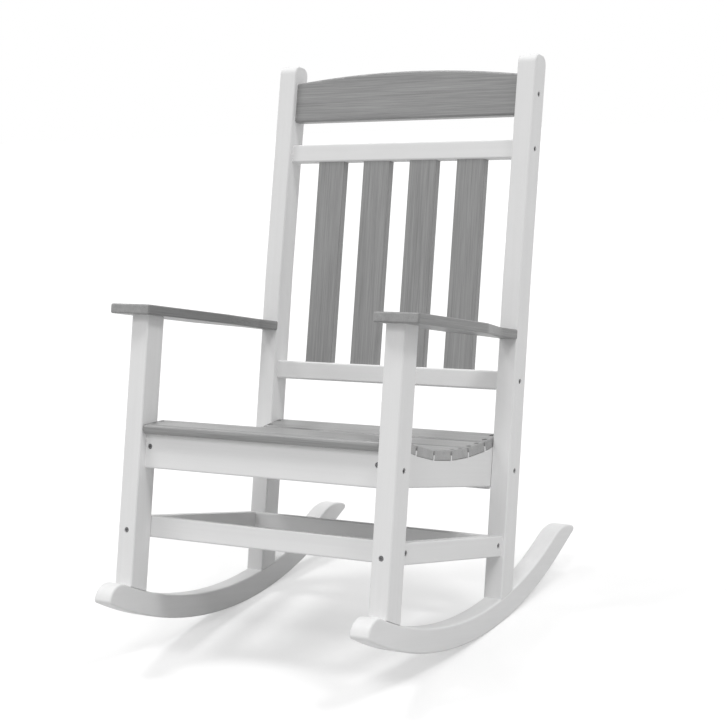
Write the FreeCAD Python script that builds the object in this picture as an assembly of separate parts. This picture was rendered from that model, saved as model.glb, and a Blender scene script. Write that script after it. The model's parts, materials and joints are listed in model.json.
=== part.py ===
import FreeCAD, Part
import math
import os

os.makedirs("parts", exist_ok=True)

Vector = FreeCAD.Vector

# Porch rocking chair with a slatted upright back, modelled with its legs upright and then leaned back
# to the angle at which it rests.
# While upright, x runs to the right, y to the rear from the front face of the front legs, and z up from
# the lowest point of the level rockers. All sizes are in millimetres and all angles in degrees.

# Frame boards
frame_width = 603.0
board_thickness = 39.5
leg_depth = 50.0
frame_rounding = 3.2

# Rockers
rocker_radius = 832.0
rocker_depth = 46.0
rocker_center_y = 202.0
rocker_nose_y = -60.0
rocker_straight_y = 690.0
rocker_straight_run = 77.0
nose_radius = 35.0
tail_radius = 105.0
tip_rounding = 7.0
rocker_rounding = 4.0

# Back posts, which stand upright below their bend and lean back above it
post_front_y = 438.0
post_depth = 48.0
post_bend_height = 706.0
post_lean = 1.25
post_top_rise = 38.0
post_top_radius = 18.0

# Armrests
arm_underside = 588.5
arm_thickness = 19.0
arm_front_overhang = 21.0
arm_outer_overhang = 38.5
arm_inner_overhang = 16.0
arm_taper_start_y = 242.0
arm_taper_end_y = 370.0
arm_corner_radius = 6.0
arm_taper_radius = 40.0
arm_rounding = 3.5

# Lower stretchers
stretcher_bottom = 164.5
stretcher_height = 40.0
stretcher_thickness = 26.0

# Seat
slat_count = 7
level_slat = 3
seat_slat_width = 63.5
seat_slat_thickness = 19.0
seat_slat_gap = 5.0
seat_slat_rounding = 4.0
seat_nose_rounding = 8.0
seat_end_rounding = 2.5
seat_low_y = 239.0
seat_low_z = 348.0
front_tilt_step = 6.8
rear_tilt_step = 5.2
nose_slat_tilt = 9.5
seat_rail_thickness = 19.0
seat_rail_depth = 50.0
seat_rail_inset = 10.0
seat_tooth_height = 10.0
seat_tooth_clearance = 0.3
apron_setback = 18.0
apron_thickness = 19.0
rear_rail_thickness = 19.0
rear_rail_height = 87.0
rear_rail_top_gap = 1.0
slat_end_clearance = 0.5

# Back panel, in heights above the floor line of the upright chair
back_rail_thickness = 25.0
back_rail_height = 37.5
back_rail_rounding = 4.0
lower_back_rail_middle = 507.0
upper_back_rail_middle = 965.5
crest_gap = 48.25
crest_end_height = 83.0
crest_rise = 16.0
crest_rounding = 5.0
back_slat_count = 4
back_slat_width = 63.5
back_slat_thickness = 19.0
back_slat_margin = 65.5
back_slat_rounding = 3.0
pocket_depth = 12.0
pocket_clearance = 0.2

# Screws
shank_diameter = 5.0
head_diameter = 10.0
head_height = 3.0
head_recess = 1.5
bore_clearance = 0.3
hole_clearance = 0.1
socket_width = 4.0
socket_depth = 1.8
tip_length = 4.0
long_screw = 65.0
rail_screw = 47.0
leg_screw = 75.0
stretcher_screw = 50.0
apron_screw = 45.0
arm_screw = 50.0
slat_screw = 30.0
rear_rail_screw = 42.0
rocker_screw = 65.0
rocker_screw_recess = 12.0
apron_screw_height = 41.0
side_rail_screw_height = 34.0
slat_screw_offset = 16.0
rear_rail_screw_spread = 22.0
cross_screw_rise = 1.5
end_screw_drop = 6.5

# Weights in grams per cubic centimetre, which settle how far back the chair leans at rest
board_density = 0.95
screw_density = 7.85

outer_x = frame_width / 2.0
inner_x = outer_x - board_thickness
middle_x = outer_x - board_thickness / 2.0
rocker_center = Vector(0.0, rocker_center_y, rocker_radius)
rocker_top_radius = rocker_radius - rocker_depth
arm_top = arm_underside + arm_thickness
stretcher_middle = stretcher_bottom + stretcher_height / 2.0
stretcher_outer_x = middle_x + stretcher_thickness / 2.0
stretcher_inner_x = middle_x - stretcher_thickness / 2.0
rail_inner_x = inner_x - seat_rail_thickness
rail_middle_x = inner_x - seat_rail_thickness / 2.0
seat_rail_bottom = seat_low_z - seat_rail_depth
crest_bottom = upper_back_rail_middle + back_rail_height / 2.0 + crest_gap
post_top = crest_bottom + crest_end_height + post_top_rise
bore_depth = head_recess + head_height


def post_front(z):
    """Where the front face of the back posts is at height z."""
    above_bend = max(z - post_bend_height, 0.0)
    return post_front_y + above_bend * math.tan(math.radians(post_lean))


def post_middle(z):
    """Middle of the depth of the back posts at height z."""
    return post_front(z) + post_depth / 2.0


def box(x0, x1, y0, y1, z0, z1):
    return Part.makeBox(x1 - x0, y1 - y0, z1 - z0, Vector(x0, y0, z0))


def edges_along(solid, axis):
    """Straight edges that run along one axis, 0 for x, 1 for y and 2 for z."""
    found = []
    for edge in solid.Edges:
        spans = [edge.BoundBox.XLength, edge.BoundBox.YLength, edge.BoundBox.ZLength]
        across = sum(spans) - spans[axis]
        if across < 1e-4:
            found.append(edge)
    return found


def edges_in_planes(solid, axis, values):
    """Edges that lie in a plane across one axis, at one of the given values."""
    found = []
    for edge in solid.Edges:
        bounds = edge.BoundBox
        lows = [bounds.XMin, bounds.YMin, bounds.ZMin]
        highs = [bounds.XMax, bounds.YMax, bounds.ZMax]
        for value in values:
            if abs(lows[axis] - value) < 1e-3 and abs(highs[axis] - value) < 1e-3:
                found.append(edge)
    return found


def prism_x(points_yz, x0, x1):
    """Straight-sided outline in the y-z plane, drawn out from x0 to x1."""
    corners = [Vector(x0, y, z) for y, z in points_yz]
    outline = Part.makePolygon(corners + [corners[0]])
    return Part.Face(outline).extrude(Vector(x1 - x0, 0, 0))


def mirrored(solid):
    return solid.mirror(Vector(0, 0, 0), Vector(1, 0, 0))


def lean_back(solid, angle):
    """Turn a piece backward by an angle about the bend in the front face of the posts."""
    leaned = solid.copy()
    leaned.rotate(Vector(0, post_front_y, post_bend_height), Vector(1, 0, 0), -angle)
    return leaned


def ahead_of_posts(solid):
    """Cut the rear end of a board to the front face of the posts."""
    behind = post_front_y + frame_width
    face = [(post_front_y, 0.0), (post_front_y, post_bend_height), (post_front(post_top), post_top)]
    room = prism_x(face + [(behind, post_top), (behind, 0.0)], -frame_width, frame_width)
    return solid.cut(room)


def rocker_point(radius, angle):
    """Point on a circle about the rocker centre, at an angle from straight down towards the rear."""
    return rocker_center + Vector(0, radius * math.sin(angle), -radius * math.cos(angle))


def rocker_end(tip, end_radius, inward):
    """Crown and start of the rounding that closes a rocker's end at its tip, tangent to the top curve."""
    tip_arm = tip - rocker_center
    reach = rocker_top_radius + end_radius
    cosine = (reach ** 2 + tip_arm.Length ** 2 - end_radius ** 2) / (2.0 * reach * tip_arm.Length)
    round_angle = math.atan2(tip_arm.y, -tip_arm.z) + inward * math.acos(cosine)
    start = rocker_point(rocker_top_radius, round_angle)
    round_center = rocker_point(reach, round_angle)
    halfway = (tip - round_center).normalize() + (start - round_center).normalize()
    return round_center + halfway.normalize() * end_radius, start


def rocker_solid():
    """Right rocker: concentric top and bottom arcs, with the bottom running straight on to the tail."""
    nose_angle = math.asin((rocker_nose_y - rocker_center_y) / rocker_radius)
    straight_angle = math.asin((rocker_straight_y - rocker_center_y) / rocker_radius)
    nose_tip = rocker_point(rocker_radius, nose_angle)
    straight_start = rocker_point(rocker_radius, straight_angle)
    straight_rise = rocker_straight_run * math.tan(straight_angle)
    tail_tip = straight_start + Vector(0, rocker_straight_run, straight_rise)
    nose_crown, nose_start = rocker_end(nose_tip, nose_radius, 1)
    tail_crown, tail_start = rocker_end(tail_tip, tail_radius, -1)
    outline = Part.Wire([
        Part.Arc(nose_tip, rocker_point(rocker_radius, 0.0), straight_start).toShape(),
        Part.makeLine(straight_start, tail_tip),
        Part.Arc(tail_tip, tail_crown, tail_start).toShape(),
        Part.Arc(tail_start, rocker_point(rocker_top_radius, 0.0), nose_start).toShape(),
        Part.Arc(nose_start, nose_crown, nose_tip).toShape(),
    ])
    solid = Part.Face(outline).extrude(Vector(board_thickness, 0, 0))
    tips = []
    for edge in edges_along(solid, 0):
        for tip in (nose_tip, tail_tip):
            if edge.distToShape(Part.Vertex(tip))[0] < 1e-3:
                tips.append(edge)
    solid = solid.makeFillet(tip_rounding, tips)
    rims = edges_in_planes(solid, 0, [0.0, board_thickness])
    solid = solid.makeFillet(rocker_rounding, rims)
    solid.translate(Vector(inner_x, 0, 0))
    return solid


def above_rocker(solid):
    """Cut the foot of an upright board to the top curve of the rocker."""
    start = Vector(0, rocker_center.y, rocker_center.z)
    room = Part.makeCylinder(rocker_top_radius, outer_x, start, Vector(1, 0, 0))
    return solid.common(room)


def front_leg_solid():
    solid = box(inner_x, outer_x, 0.0, leg_depth, 0.0, arm_underside)
    rims = edges_along(solid, 2)
    solid = solid.makeFillet(frame_rounding, rims)
    return above_rocker(solid)


def back_post_solid():
    """Right back post: one straight board below the bend and the same board leaned back above it."""
    straight = box(inner_x, outer_x, post_front_y, post_front_y + post_depth, 0.0, post_top)
    top_corners = [edge for edge in edges_along(straight, 0) if edge.BoundBox.ZMin > post_bend_height]
    straight = straight.makeFillet(post_top_radius, top_corners)
    sides = edges_in_planes(straight, 0, [inner_x, outer_x])
    rims = [edge for edge in sides if edge.BoundBox.ZMax > 1.0]
    straight = straight.makeFillet(frame_rounding, rims)
    upper_room = box(0.0, frame_width, 0.0, 2.0 * post_top, post_bend_height, 2.0 * post_top)
    upper_room = lean_back(upper_room, post_lean / 2.0)
    lower = straight.cut(upper_room)
    upper = lean_back(straight, post_lean).common(upper_room)
    return above_rocker(lower).fuse(upper)


def armrest_solid():
    outer = outer_x + arm_outer_overhang
    inner = inner_x - arm_inner_overhang
    front = -arm_front_overhang
    rear = post_middle(arm_underside)
    corners = [
        (inner, front),
        (outer, front),
        (outer, arm_taper_start_y),
        (outer_x, arm_taper_end_y),
        (outer_x, rear),
        (inner_x, rear),
        (inner_x, arm_taper_end_y),
        (inner, arm_taper_start_y),
    ]
    outline = Part.makePolygon([Vector(x, y, arm_underside) for x, y in corners + corners[:1]])
    solid = Part.Face(outline).extrude(Vector(0, 0, arm_thickness))
    uprights = edges_along(solid, 2)
    tapers = [edge for edge in uprights if front + 1.0 < edge.BoundBox.YMin < rear - 1.0]
    solid = solid.makeFillet(arm_taper_radius, tapers)
    uprights = edges_along(solid, 2)
    fronts = [edge for edge in uprights if edge.BoundBox.YMax < front + 1.0]
    solid = solid.makeFillet(arm_corner_radius, fronts)
    faces = edges_in_planes(solid, 2, [arm_underside, arm_top])
    rims = [edge for edge in faces if edge.BoundBox.YMin < rear - 1.0]
    return ahead_of_posts(solid.makeFillet(arm_rounding, rims))


def side_stretcher_solid():
    top = stretcher_bottom + stretcher_height
    rear = post_middle(top)
    solid = box(stretcher_inner_x, stretcher_outer_x, leg_depth, rear, stretcher_bottom, top)
    solid = solid.makeFillet(frame_rounding, edges_along(solid, 1))
    return ahead_of_posts(solid)


def cross_stretcher_solid(front):
    top = stretcher_bottom + stretcher_height
    rear = front + stretcher_thickness
    solid = box(-stretcher_inner_x, stretcher_inner_x, front, rear, stretcher_bottom, top)
    return solid.makeFillet(frame_rounding, edges_along(solid, 0))


def slat_tilt(index):
    """Tilt of a seat slat, with its rear edge up where the tilt is positive."""
    if index == 0:
        return nose_slat_tilt
    steps = index - level_slat
    if steps > 0:
        return steps * rear_tilt_step
    return steps * front_tilt_step


def direction(tilt):
    return Vector(0, math.cos(math.radians(tilt)), math.sin(math.radians(tilt)))


def seat_flats():
    """Front and rear bottom edge of each seat slat, worked out from the level slat both ways."""
    flats = {}
    half = direction(0.0) * (seat_slat_width / 2.0)
    middle = Vector(0, seat_low_y, seat_low_z)
    flats[level_slat] = (middle - half, middle + half)
    for index in range(level_slat + 1, slat_count):
        joint_tilt = (slat_tilt(index - 1) + slat_tilt(index)) / 2.0
        front = flats[index - 1][1] + direction(joint_tilt) * seat_slat_gap
        flats[index] = (front, front + direction(slat_tilt(index)) * seat_slat_width)
    for index in range(level_slat - 1, -1, -1):
        joint_tilt = (slat_tilt(index + 1) + slat_tilt(index)) / 2.0
        rear = flats[index + 1][0] - direction(joint_tilt) * seat_slat_gap
        flats[index] = (rear - direction(slat_tilt(index)) * seat_slat_width, rear)
    return [flats[index] for index in range(slat_count)]


def height_on(flat, y):
    """Height of a slat's underside, or of the line that carries it on, at depth y."""
    front, rear = flat
    return front.z + (y - front.y) * (rear.z - front.z) / (rear.y - front.y)


def seat_slat_solid(index, flat):
    half_length = inner_x - slat_end_clearance
    solid = box(-half_length, half_length, 0.0, seat_slat_width, 0.0, seat_slat_thickness)
    long_edges = edges_along(solid, 0)
    nose_edges = []
    if index == 0:
        nose_edges = [edge for edge in long_edges if edge.BoundBox.YMax < 1.0]
        long_edges = [edge for edge in long_edges if edge.BoundBox.YMax > 1.0]
    solid = solid.makeFillet(seat_slat_rounding, long_edges)
    if nose_edges:
        front_edges = [edge for edge in edges_along(solid, 0) if edge.BoundBox.YMax < 1e-3]
        solid = solid.makeFillet(seat_nose_rounding, front_edges)
    ends = edges_in_planes(solid, 0, [-half_length, half_length])
    end_tops = [edge for edge in ends if edge.BoundBox.ZMax > seat_slat_thickness / 2.0 + 1.0]
    solid = solid.makeFillet(seat_end_rounding, end_tops)
    solid.rotate(Vector(0, 0, 0), Vector(1, 0, 0), slat_tilt(index))
    solid.translate(flat[0])
    return solid


def seat_rear_end():
    """Rear end of the seat's side rails and rear rail, inside the back posts."""
    return post_front(seat_rail_bottom) + post_depth - seat_rail_inset


def seat_tooth(index, flats):
    """Corners of the tooth on a side rail that fills the gap behind one seat slat."""
    corners = []
    for number, corner, side in ((index, flats[index][1], 1.0), (index + 1, flats[index + 1][0], -1.0)):
        along = direction(slat_tilt(number))
        upward = Vector(0, -along.z, along.y)
        foot = corner + along * (side * seat_tooth_clearance)
        corners.append([foot, foot + upward * seat_tooth_height])
    return corners[0] + corners[1][::-1]


def seat_side_rail_solid(flats):
    front = apron_setback + apron_thickness
    rear = seat_rear_end()
    top = [(front, height_on(flats[0], front))]
    for index in range(slat_count - 1):
        top += [(corner.y, corner.z) for corner in seat_tooth(index, flats)]
    top += [(flats[-1][1].y, flats[-1][1].z), (rear, flats[-1][1].z)]
    outline = [(rear, seat_rail_bottom), (front, seat_rail_bottom)] + top
    solid = prism_x(outline, rail_inner_x, inner_x)
    bottoms = edges_in_planes(solid, 2, [seat_rail_bottom])
    rims = [edge for edge in bottoms if edge.BoundBox.YLength > 1.0]
    return solid.makeFillet(frame_rounding, rims)


def seat_apron_solid(flats):
    front = apron_setback
    rear = apron_setback + apron_thickness
    outline = [
        (front, seat_rail_bottom),
        (rear, seat_rail_bottom),
        (rear, height_on(flats[0], rear)),
        (front, height_on(flats[0], front)),
    ]
    solid = prism_x(outline, -inner_x, inner_x)
    lower = [edge for edge in edges_along(solid, 0) if edge.BoundBox.ZMax < seat_rail_bottom + 1.0]
    return solid.makeFillet(frame_rounding, lower)


def seat_rear_rail_solid(flats):
    rear = seat_rear_end()
    front = rear - rear_rail_thickness
    top = height_on(flats[-1], front) - rear_rail_top_gap
    solid = box(-rail_inner_x, rail_inner_x, front, rear, top - rear_rail_height, top)
    lower = [edge for edge in edges_along(solid, 0) if edge.BoundBox.ZMax < top - 1.0]
    return solid.makeFillet(frame_rounding, lower)


def back_rail_front():
    """Front of the rails of the back before they lean, centred in the depth of the posts."""
    return post_front_y + (post_depth - back_rail_thickness) / 2.0


def back_slat_positions():
    first = back_slat_margin + back_slat_width / 2.0 - inner_x
    pitch = -2.0 * first / (back_slat_count - 1)
    return [first + pitch * index for index in range(back_slat_count)]


def back_slat_solid(middle, extra=0.0):
    """Slat that leans from rail to rail, made larger all round by extra for its pockets."""
    foot = Vector(0, post_middle(lower_back_rail_middle), lower_back_rail_middle)
    head = Vector(0, post_middle(upper_back_rail_middle), upper_back_rail_middle)
    lean = math.degrees(math.atan2(head.y - foot.y, head.z - foot.z))
    bottom = lower_back_rail_middle + back_rail_height / 2.0 - pocket_depth - extra
    top = upper_back_rail_middle - back_rail_height / 2.0 + pocket_depth + extra
    left = middle - back_slat_width / 2.0 - extra
    right = middle + back_slat_width / 2.0 + extra
    front = foot.y - back_slat_thickness / 2.0 - extra
    rear = foot.y + back_slat_thickness / 2.0 + extra
    solid = box(left, right, front, rear, bottom, top)
    solid = solid.makeFillet(back_slat_rounding + extra, edges_along(solid, 2))
    solid.rotate(foot, Vector(1, 0, 0), -lean)
    return solid


def back_rail_solid(middle_height, lean):
    front = back_rail_front()
    rear = front + back_rail_thickness
    bottom = middle_height - back_rail_height / 2.0
    top = middle_height + back_rail_height / 2.0
    solid = box(-inner_x, inner_x, front, rear, bottom, top)
    solid = solid.makeFillet(back_rail_rounding, edges_along(solid, 0))
    pockets = [back_slat_solid(middle, pocket_clearance) for middle in back_slat_positions()]
    return lean_back(solid, lean).cut(pockets)


def crest_solid():
    front = back_rail_front()
    end_top = crest_bottom + crest_end_height
    bottom_left = Vector(-inner_x, front, crest_bottom)
    bottom_right = Vector(inner_x, front, crest_bottom)
    top_left = Vector(-inner_x, front, end_top)
    top_right = Vector(inner_x, front, end_top)
    arch = Part.Arc(top_right, Vector(0, front, end_top + crest_rise), top_left).toShape()
    outline = Part.Wire([
        Part.makeLine(bottom_left, bottom_right),
        Part.makeLine(bottom_right, top_right),
        arch,
        Part.makeLine(top_left, bottom_left),
    ])
    solid = Part.Face(outline).extrude(Vector(0, back_rail_thickness, 0))
    faces = edges_in_planes(solid, 1, [front, front + back_rail_thickness])
    rims = [edge for edge in faces if edge.BoundBox.XLength > inner_x]
    return lean_back(solid.makeFillet(crest_rounding, rims), post_lean)


def screw(seat, inward, length):
    """Socket screw with the underside of its head at seat and its shank running inward."""
    shank_radius = shank_diameter / 2.0
    point = seat + inward * (length - tip_length)
    shank = Part.makeCylinder(shank_radius, length - tip_length, seat, inward)
    tip = Part.makeCone(shank_radius, 0.5, tip_length, point, inward)
    crown = seat - inward * head_height
    head = Part.makeCylinder(head_diameter / 2.0, head_height, crown, inward)
    rim = [edge for edge in head.Edges if edge.CenterOfMass.distanceToPoint(crown) < 0.1]
    head = head.makeFillet(head_height / 4.0, rim)
    socket = Part.makeCylinder(socket_width / 2.0, socket_depth, crown, inward)
    return head.fuse([shank, tip]).removeSplitter().cut(socket)


def screw_hole(seat, inward, length, bore):
    """Room for one screw: a wide bore that starts outside the board, then a hole for the shank."""
    mouth = seat - inward * bore
    wide = Part.makeCylinder(head_diameter / 2.0 + bore_clearance, bore, mouth, inward)
    narrow = Part.makeCylinder(shank_diameter / 2.0 + hole_clearance, length, seat, inward)
    return wide.fuse(narrow)


def place_screws(pieces, node, spots, length, through, bore=bore_depth):
    """Add a group of equal screws as one node, and cut their holes in the boards they join."""
    holes = [screw_hole(seat, inward, length, bore) for seat, inward in spots]
    for name in through:
        pieces[name] = pieces[name].cut(holes)
    pieces[node] = Part.makeCompound([screw(seat, inward, length) for seat, inward in spots])


def both_sides(spots):
    """Repeat screws of the right side on the left side."""
    paired = []
    for seat, inward in spots:
        paired.append((seat, inward))
        paired.append((Vector(-seat.x, seat.y, seat.z), Vector(-inward.x, inward.y, inward.z)))
    return paired


def add_side_screws(pieces):
    inward = Vector(-1, 0, 0)
    seat_x = outer_x - bore_depth
    crest_middle = crest_bottom + crest_end_height / 2.0
    heights = [crest_middle, upper_back_rail_middle, lower_back_rail_middle]
    spots = [(Vector(seat_x, post_middle(z), z), inward) for z in heights]
    boards = ["back_post_left", "back_post_right", "crest_rail", "upper_back_rail", "lower_back_rail"]
    place_screws(pieces, "back_rail_screws", both_sides(spots), long_screw, boards)

    height = seat_rail_bottom + side_rail_screw_height
    apron_middle = apron_setback + apron_thickness / 2.0
    spots = [(Vector(seat_x, y, height), inward) for y in (apron_middle, post_middle(height))]
    boards = ["front_leg_left", "front_leg_right", "back_post_left", "back_post_right"]
    boards += ["seat_front_apron", "seat_side_rail_left", "seat_side_rail_right"]
    place_screws(pieces, "seat_rail_screws", both_sides(spots), rail_screw, boards)

    seat_x = stretcher_outer_x - bore_depth
    half = stretcher_thickness / 2.0
    depths = [leg_depth + half, post_front(stretcher_bottom) - half]
    spots = [(Vector(seat_x, y, stretcher_middle + cross_screw_rise), inward) for y in depths]
    boards = ["side_stretcher_left", "side_stretcher_right", "front_stretcher", "back_stretcher"]
    place_screws(pieces, "cross_stretcher_screws", both_sides(spots), stretcher_screw, boards)

    rear_rail_middle = seat_rear_end() - rear_rail_thickness / 2.0
    seat_x = inner_x - bore_depth
    heights = [height - rear_rail_screw_spread, height + rear_rail_screw_spread]
    spots = [(Vector(seat_x, rear_rail_middle, z), inward) for z in heights]
    boards = ["seat_side_rail_left", "seat_side_rail_right", "seat_rear_rail"]
    place_screws(pieces, "seat_rear_rail_screws", both_sides(spots), rear_rail_screw, boards)


def add_end_screws(pieces):
    rearward = Vector(0, 1, 0)
    forward = Vector(0, -1, 0)
    height = stretcher_middle - end_screw_drop
    front_seat = Vector(middle_x, bore_depth, height)
    rear_seat = Vector(middle_x, post_front(height) + post_depth - bore_depth, height)
    spots = [(front_seat, rearward), (rear_seat, forward)]
    boards = ["front_leg_left", "front_leg_right", "back_post_left", "back_post_right"]
    boards += ["side_stretcher_left", "side_stretcher_right"]
    place_screws(pieces, "side_stretcher_screws", both_sides(spots), leg_screw, boards)

    seat = Vector(rail_middle_x, apron_setback + bore_depth, seat_rail_bottom + apron_screw_height)
    boards = ["seat_front_apron", "seat_side_rail_left", "seat_side_rail_right"]
    place_screws(pieces, "apron_screws", both_sides([(seat, rearward)]), apron_screw, boards)

    arm_middle = arm_underside + arm_thickness / 2.0
    rear_face = post_front(arm_middle) + post_depth
    seat = Vector(middle_x, rear_face - bore_depth, arm_middle)
    boards = ["armrest_left", "armrest_right", "back_post_left", "back_post_right"]
    place_screws(pieces, "armrest_rear_screws", both_sides([(seat, forward)]), leg_screw, boards)


def add_upright_screws(pieces):
    upward = Vector(0, 0, 1)
    downward = Vector(0, 0, -1)
    seat = Vector(middle_x, leg_depth / 2.0, arm_top - bore_depth)
    boards = ["armrest_left", "armrest_right", "front_leg_left", "front_leg_right"]
    place_screws(pieces, "armrest_front_screws", both_sides([(seat, downward)]), arm_screw, boards)

    spots = []
    for y in (leg_depth / 2.0, post_middle(0.0)):
        drop = math.sqrt(rocker_radius ** 2 - (y - rocker_center_y) ** 2)
        underside = rocker_radius - drop
        spots.append((Vector(middle_x, y, underside + rocker_screw_recess), upward))
    boards = ["rocker_left", "rocker_right", "front_leg_left", "front_leg_right"]
    boards += ["back_post_left", "back_post_right"]
    bore = 2.0 * rocker_screw_recess
    place_screws(pieces, "rocker_screws", both_sides(spots), rocker_screw, boards, bore)


def add_slat_screws(pieces, flats):
    spots = []
    apron_middle = apron_setback + apron_thickness / 2.0
    for index, (front, rear) in enumerate(flats):
        tilt = slat_tilt(index)
        along = direction(tilt)
        normal = Vector(0, -along.z, along.y)
        middle = (front + rear) * 0.5
        front_spot = middle - along * slat_screw_offset
        if index == 0:
            front_spot = Vector(0, apron_middle, height_on(flats[0], apron_middle))
        for spot in (front_spot, middle + along * slat_screw_offset):
            seat = spot + normal * (seat_slat_thickness - bore_depth)
            spots.append((Vector(rail_middle_x, seat.y, seat.z), normal * -1.0))
    boards = ["seat_slat_%d" % (index + 1) for index in range(slat_count)]
    boards += ["seat_side_rail_left", "seat_side_rail_right", "seat_front_apron"]
    place_screws(pieces, "seat_slat_screws", both_sides(spots), slat_screw, boards)


def upright_chair():
    flats = seat_flats()
    pieces = {}
    for name, solid in (
        ("rocker", rocker_solid()),
        ("front_leg", front_leg_solid()),
        ("back_post", back_post_solid()),
        ("armrest", armrest_solid()),
        ("side_stretcher", side_stretcher_solid()),
        ("seat_side_rail", seat_side_rail_solid(flats)),
    ):
        pieces[name + "_right"] = solid
        pieces[name + "_left"] = mirrored(solid)
    pieces["front_stretcher"] = cross_stretcher_solid(leg_depth)
    pieces["back_stretcher"] = cross_stretcher_solid(post_front(stretcher_bottom) - stretcher_thickness)
    pieces["seat_front_apron"] = seat_apron_solid(flats)
    pieces["seat_rear_rail"] = seat_rear_rail_solid(flats)
    for index, flat in enumerate(flats):
        pieces["seat_slat_%d" % (index + 1)] = seat_slat_solid(index, flat)
    pieces["lower_back_rail"] = back_rail_solid(lower_back_rail_middle, 0.0)
    pieces["upper_back_rail"] = back_rail_solid(upper_back_rail_middle, post_lean)
    pieces["crest_rail"] = crest_solid()
    for index, middle in enumerate(back_slat_positions()):
        pieces["back_slat_%d" % (index + 1)] = back_slat_solid(middle)
    add_side_screws(pieces)
    add_end_screws(pieces)
    add_upright_screws(pieces)
    add_slat_screws(pieces, flats)
    return pieces


def balance_lean(pieces):
    """Lean at which the centre of mass is straight above the line where the rockers touch the floor."""
    weight = 0.0
    moment = Vector(0, 0, 0)
    for name, shape in pieces.items():
        density = screw_density if name.endswith("screws") else board_density
        for solid in shape.Solids:
            weight += solid.Volume * density
            moment += solid.CenterOfMass * (solid.Volume * density)
    offset = rocker_center - moment / weight
    return math.degrees(math.atan2(-offset.y, offset.z))


def at_rest(pieces):
    """Lean the chair back on its rockers and put the origin on the floor, under the middle of its bounds."""
    turned = FreeCAD.Rotation(Vector(1, 0, 0), -balance_lean(pieces))
    lift = rocker_radius - turned.multVec(rocker_center).z
    placement = FreeCAD.Placement(Vector(0, 0, lift), turned)
    resting = {}
    for name, shape in pieces.items():
        resting[name] = shape.transformed(placement.toMatrix())
    bounds = Part.makeCompound(list(resting.values())).optimalBoundingBox(False, False)
    for shape in resting.values():
        shape.translate(Vector(0, -bounds.Center.y, 0))
    return resting


for node, shape in at_rest(upright_chair()).items():
    shape.exportStep("parts/%s.step" % node)
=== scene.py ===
import json
import math

import bpy
from mathutils import Matrix, Vector

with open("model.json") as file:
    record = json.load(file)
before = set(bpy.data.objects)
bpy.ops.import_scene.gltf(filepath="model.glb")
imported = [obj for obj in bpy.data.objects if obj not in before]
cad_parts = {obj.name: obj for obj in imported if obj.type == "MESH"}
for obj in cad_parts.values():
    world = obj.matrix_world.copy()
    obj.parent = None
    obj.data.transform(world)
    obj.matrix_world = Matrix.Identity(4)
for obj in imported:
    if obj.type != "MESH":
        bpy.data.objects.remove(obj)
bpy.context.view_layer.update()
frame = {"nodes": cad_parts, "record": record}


# Lengths are in metres, angles in degrees, and shades are linear greys from 0 to 1.

# White boards
white_dark = 0.80
white_pale = 0.845
white_roughness = 0.5
white_specular = 0.3
streak_scale = (2.0, 90.0, 90.0)
streak_share = 0.6
mottle_scale = (9.0, 14.0, 14.0)
drag_scale = (12.0, 420.0, 420.0)
drag_strength = 0.12
drag_depth = 0.0006

# Grey boards
grey_dark = 0.215
grey_pale = 0.36
grey_dark_at = 0.36
grey_pale_at = 0.64
grey_roughness = 0.36
grey_specular = 0.5
broad_scale = (2.2, 60.0, 60.0)
broad_share = 0.3
fine_scale = (7.0, 640.0, 640.0)
grain_strength = 0.4
grain_depth = 0.0012
# Painted light: faces that look along a grey board's grain are made paler by this share, standing in
# for light on the board ends.
painted_end_light_gain = 0.35
end_facing = 0.8
armrest_shade = 0.8
slat_extra_lean = 0.7

# Screws
steel_dark = (0.13, 0.13, 0.134)
steel_pale = (0.26, 0.26, 0.265)
steel_metallic = 0.9
steel_roughness = 0.42
patch_scale = (240.0, 240.0, 240.0)

# Floor
floor_half = 9.0
floor_dark = 0.56
floor_pale = 0.58
floor_glow = 0.46
floor_scale = (3.0, 3.0, 3.0)

# Light
fill_level = 0.46
lamp_width = 13.0

# Camera
camera_azimuth = 32.0995
camera_elevation = 12.5193
camera_roll = -4.9828
camera_place = Vector((1.8617, -2.8446, 1.2697))
camera_lens = 88.9
camera_sensor = 36.0
camera_reach = 100.0

# The chair leans back at rest, so grain directions are worked out from the leaned armrest top.
mounts = frame["record"]["mounts"]
armrest_up = Vector(next(m["axis"] for m in mounts if m["name"] == "armrest_top_right"))
lean = math.atan2(armrest_up.y, armrest_up.z)
slat_lean = lean + math.radians(slat_extra_lean)
across = (1.0, 0.0, 0.0)
rearward = (0.0, math.cos(lean), -math.sin(lean))
upward = (0.0, math.sin(lean), math.cos(lean))
slat_upward = (0.0, math.sin(slat_lean), math.cos(slat_lean))


# Material building blocks


def new_material(name):
    material = bpy.data.materials.new(name)
    material.use_nodes = True
    tree = material.node_tree
    tree.nodes.clear()
    output = tree.nodes.new("ShaderNodeOutputMaterial")
    shader = tree.nodes.new("ShaderNodeBsdfPrincipled")
    tree.links.new(shader.outputs["BSDF"], output.inputs["Surface"])
    return material, tree, shader


def grain_rotation(direction):
    """Euler angles that turn the given direction onto the x axis."""
    turn = Vector(direction).normalized().rotation_difference(Vector(across))
    return tuple(turn.to_euler("XYZ"))


def mapped(tree, rotation, scale):
    """Object coordinates turned so that x runs along the board's grain, then scaled."""
    coords = tree.nodes.new("ShaderNodeTexCoord")
    turn = tree.nodes.new("ShaderNodeMapping")
    turn.inputs["Rotation"].default_value = rotation
    stretch = tree.nodes.new("ShaderNodeMapping")
    stretch.inputs["Scale"].default_value = scale
    tree.links.new(coords.outputs["Object"], turn.inputs["Vector"])
    tree.links.new(turn.outputs["Vector"], stretch.inputs["Vector"])
    return stretch.outputs["Vector"]


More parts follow.
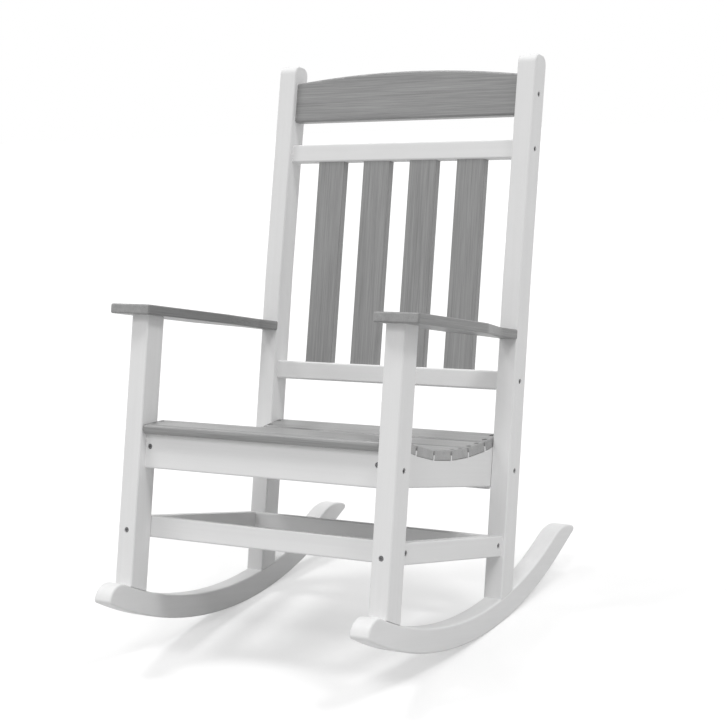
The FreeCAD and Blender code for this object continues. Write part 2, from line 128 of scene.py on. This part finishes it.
def noise(tree, rotation, scale, detail, roughness=0.5, distortion=0.0):
    """Noise from 0 to 1 over the object, drawn out along the grain."""
    node = tree.nodes.new("ShaderNodeTexNoise")
    node.inputs["Scale"].default_value = 1.0
    node.inputs["Detail"].default_value = detail
    node.inputs["Roughness"].default_value = roughness
    node.inputs["Distortion"].default_value = distortion
    tree.links.new(mapped(tree, rotation, scale), node.inputs["Vector"])
    return node.outputs["Fac"]


def ramp(tree, value, low, high, low_at=0.3, high_at=0.7):
    """Colour that runs from low to high as the value does."""
    node = tree.nodes.new("ShaderNodeValToRGB")
    stops = node.color_ramp.elements
    for stop, color, position in ((stops[0], low, low_at), (stops[1], high, high_at)):
        stop.position = position
        stop.color = (*color, 1.0)
    tree.links.new(value, node.inputs["Fac"])
    return node.outputs["Color"]


def grey(shade):
    return (shade, shade, shade)


def calculate(tree, operation, first, second):
    """Result of a math node, of which either side is a number or another node's output."""
    node = tree.nodes.new("ShaderNodeMath")
    node.operation = operation
    for socket, value in zip(node.inputs, (first, second)):
        if isinstance(value, (int, float)):
            socket.default_value = value
        else:
            tree.links.new(value, socket)
    return node.outputs["Value"]


def blended(tree, first, second, share):
    """Two values added, the first by its share and the second by the rest."""
    first_part = calculate(tree, "MULTIPLY", first, share)
    second_part = calculate(tree, "MULTIPLY", second, 1.0 - share)
    return calculate(tree, "ADD", first_part, second_part)


def add_bump(tree, shader, height, strength, distance):
    bump = tree.nodes.new("ShaderNodeBump")
    bump.inputs["Strength"].default_value = strength
    bump.inputs["Distance"].default_value = distance
    tree.links.new(height, bump.inputs["Height"])
    tree.links.new(bump.outputs["Normal"], shader.inputs["Normal"])


def painted_end_light(tree, color, direction):
    """The colour as it is on the long faces of a board, with painted light on its ends: faces that look
    along the grain are made paler.
    """
    coords = tree.nodes.new("ShaderNodeTexCoord")
    along = tree.nodes.new("ShaderNodeVectorMath")
    along.operation = "DOT_PRODUCT"
    along.inputs[1].default_value = direction
    tree.links.new(coords.outputs["Normal"], along.inputs[0])
    facing = calculate(tree, "ABSOLUTE", along.outputs["Value"], 0.0)
    painted_end_mask = calculate(tree, "GREATER_THAN", facing, end_facing)
    gain = calculate(tree, "ADD", calculate(tree, "MULTIPLY", painted_end_mask, painted_end_light_gain), 1.0)
    scaled = tree.nodes.new("ShaderNodeVectorMath")
    scaled.operation = "SCALE"
    tree.links.new(color, scaled.inputs[0])
    tree.links.new(gain, scaled.inputs["Scale"])
    return scaled.outputs["Vector"]


# Materials


def white_board(name, direction):
    """White plastic lumber: smooth, with faint lengthwise drag marks and soft mottling."""
    material, tree, shader = new_material(name)
    rotation = grain_rotation(direction)
    streaks = noise(tree, rotation, streak_scale, 4.0, 0.6)
    mottle = noise(tree, rotation, mottle_scale, 3.0)
    blend = blended(tree, streaks, mottle, streak_share)
    color = ramp(tree, blend, grey(white_dark), grey(white_pale))
    tree.links.new(color, shader.inputs["Base Color"])
    shader.inputs["Roughness"].default_value = white_roughness
    shader.inputs["Specular IOR Level"].default_value = white_specular
    drag = noise(tree, rotation, drag_scale, 3.0, 0.6)
    add_bump(tree, shader, drag, drag_strength, drag_depth)
    return material


def grey_board(name, direction, shade=1.0):
    """Grey plastic lumber with a wood grain pressed into it along the board."""
    material, tree, shader = new_material(name)
    rotation = grain_rotation(direction)
    broad = noise(tree, rotation, broad_scale, 5.0, 0.65, 0.4)
    fine = noise(tree, rotation, fine_scale, 4.0, 0.7)
    grain = blended(tree, broad, fine, broad_share)
    dark, pale = grey(grey_dark * shade), grey(grey_pale * shade)
    color = ramp(tree, grain, dark, pale, grey_dark_at, grey_pale_at)
    # The ends of the board get painted light over the grain colour.
    tree.links.new(painted_end_light(tree, color, direction), shader.inputs["Base Color"])
    shader.inputs["Roughness"].default_value = grey_roughness
    shader.inputs["Specular IOR Level"].default_value = grey_specular
    add_bump(tree, shader, grain, grain_strength, grain_depth)
    return material


def screw_steel(name):
    """Dull steel, a little darker in its worn patches."""
    material, tree, shader = new_material(name)
    patches = noise(tree, (0.0, 0.0, 0.0), patch_scale, 3.0)
    color = ramp(tree, patches, steel_dark, steel_pale)
    tree.links.new(color, shader.inputs["Base Color"])
    shader.inputs["Metallic"].default_value = steel_metallic
    shader.inputs["Roughness"].default_value = steel_roughness
    return material


white_x = white_board("white_across", across)
white_y = white_board("white_rearward", rearward)
white_z = white_board("white_upward", upward)
grey_x = grey_board("grey_across", across)
grey_y = grey_board("grey_rearward", rearward, armrest_shade)
grey_z = grey_board("grey_upward", slat_upward)
steel = screw_steel("screw_steel")


def board_material(name):
    """Material of a node, with its grain along the board. Screws in grey slats match them."""
    if name == "seat_slat_screws":
        return grey_x
    if name.endswith("screws"):
        return steel
    if name.startswith("back_slat"):
        return grey_z
    if name.startswith("armrest"):
        return grey_y
    if name.startswith("seat_slat") or name == "crest_rail":
        return grey_x
    if name.startswith(("front_leg", "back_post")):
        return white_z
    if name.startswith(("rocker", "side_stretcher", "seat_side_rail")):
        return white_y
    return white_x


for name, node in frame["nodes"].items():
    material = board_material(name)
    for slot in node.material_slots:
        slot.material = material
    if not node.material_slots:
        node.data.materials.append(material)


# Floor


def floor_material():
    """Pale matt floor that also glows a little to the camera, so that it meets the white background."""
    material = bpy.data.materials.new("floor_pale")
    material.use_nodes = True
    tree = material.node_tree
    tree.nodes.clear()
    output = tree.nodes.new("ShaderNodeOutputMaterial")
    diffuse = tree.nodes.new("ShaderNodeBsdfDiffuse")
    glow = tree.nodes.new("ShaderNodeEmission")
    path = tree.nodes.new("ShaderNodeLightPath")
    total = tree.nodes.new("ShaderNodeAddShader")
    patches = noise(tree, (0.0, 0.0, 0.0), floor_scale, 2.0)
    color = ramp(tree, patches, grey(floor_dark), grey(floor_pale))
    tree.links.new(color, diffuse.inputs["Color"])
    seen = calculate(tree, "MAXIMUM", path.outputs["Is Camera Ray"], path.outputs["Is Glossy Ray"])
    tree.links.new(calculate(tree, "MULTIPLY", seen, floor_glow), glow.inputs["Strength"])
    tree.links.new(diffuse.outputs["BSDF"], total.inputs[0])
    tree.links.new(glow.outputs["Emission"], total.inputs[1])
    tree.links.new(total.outputs["Shader"], output.inputs["Surface"])
    return material


def make_floor():
    corners = [(-1, -1), (1, -1), (1, 1), (-1, 1)]
    mesh = bpy.data.meshes.new("floor")
    mesh.from_pydata([(x * floor_half, y * floor_half, 0.0) for x, y in corners], [], [(0, 1, 2, 3)])
    mesh.materials.append(floor_material())
    floor = bpy.data.objects.new("floor", mesh)
    bpy.context.scene.collection.objects.link(floor)


make_floor()


# Light


def set_world():
    """White where the camera or a reflection sees it, and a softer fill for all other light."""
    world = bpy.data.worlds.new("studio")
    bpy.context.scene.world = world
    world.use_nodes = True
    tree = world.node_tree
    tree.nodes.clear()
    output = tree.nodes.new("ShaderNodeOutputWorld")
    seen = tree.nodes.new("ShaderNodeBackground")
    fill = tree.nodes.new("ShaderNodeBackground")
    path = tree.nodes.new("ShaderNodeLightPath")
    mix = tree.nodes.new("ShaderNodeMixShader")
    for background, level in ((seen, 1.0), (fill, fill_level)):
        background.inputs["Color"].default_value = (1.0, 1.0, 1.0, 1.0)
        background.inputs["Strength"].default_value = level
    direct = calculate(tree, "MAXIMUM", path.outputs["Is Camera Ray"], path.outputs["Is Glossy Ray"])
    direct = calculate(tree, "MAXIMUM", direct, path.outputs["Is Transmission Ray"])
    tree.links.new(direct, mix.inputs["Fac"])
    tree.links.new(fill.outputs["Background"], mix.inputs[1])
    tree.links.new(seen.outputs["Background"], mix.inputs[2])
    tree.links.new(mix.outputs["Shader"], output.inputs["Surface"])


def far_lamp(name, azimuth, elevation, level):
    """Distant round softbox. Azimuth 0 is the front, and a level of 1 lights a white face fully."""
    turn, rise = math.radians(azimuth), math.radians(elevation)
    toward = Vector((math.sin(turn) * math.cos(rise), -math.cos(turn) * math.cos(rise), math.sin(rise)))
    data = bpy.data.lights.new(name, "SUN")
    data.angle = math.radians(lamp_width)
    data.energy = math.pi * level
    light = bpy.data.objects.new(name, data)
    light.rotation_euler = (-toward).to_track_quat("-Z", "Y").to_euler()
    bpy.context.scene.collection.objects.link(light)


set_world()
far_lamp("left", -82.0, 62.0, 0.29)
far_lamp("right", 88.0, 58.0, 0.25)
far_lamp("rear", 180.0, 60.0, 0.14)
far_lamp("front", 20.0, 50.0, 0.15)
far_lamp("low_left", -40.0, 33.0, 0.06)


# Camera


def make_camera():
    """Camera turned about the vertical, tipped down and then rolled about its line of sight."""
    turn, drop = math.radians(camera_azimuth), math.radians(camera_elevation)
    roll = math.radians(camera_roll)
    ahead = Vector((-math.sin(turn) * math.cos(drop), math.cos(turn) * math.cos(drop), -math.sin(drop)))
    level_right = Vector((math.cos(turn), math.sin(turn), 0.0))
    level_up = level_right.cross(ahead)
    right = level_right * math.cos(roll) + level_up * math.sin(roll)
    axes = Matrix((right, right.cross(ahead), -ahead)).transposed()
    data = bpy.data.cameras.new("camera")
    data.sensor_width = camera_sensor
    data.lens = camera_lens
    data.clip_end = camera_reach
    data.dof.use_dof = False
    camera = bpy.data.objects.new("camera", data)
    camera.matrix_world = Matrix.Translation(camera_place) @ axes.to_4x4()
    bpy.context.scene.collection.objects.link(camera)
    bpy.context.scene.camera = camera


make_camera()
bpy.context.scene.view_settings.view_transform = "Standard"
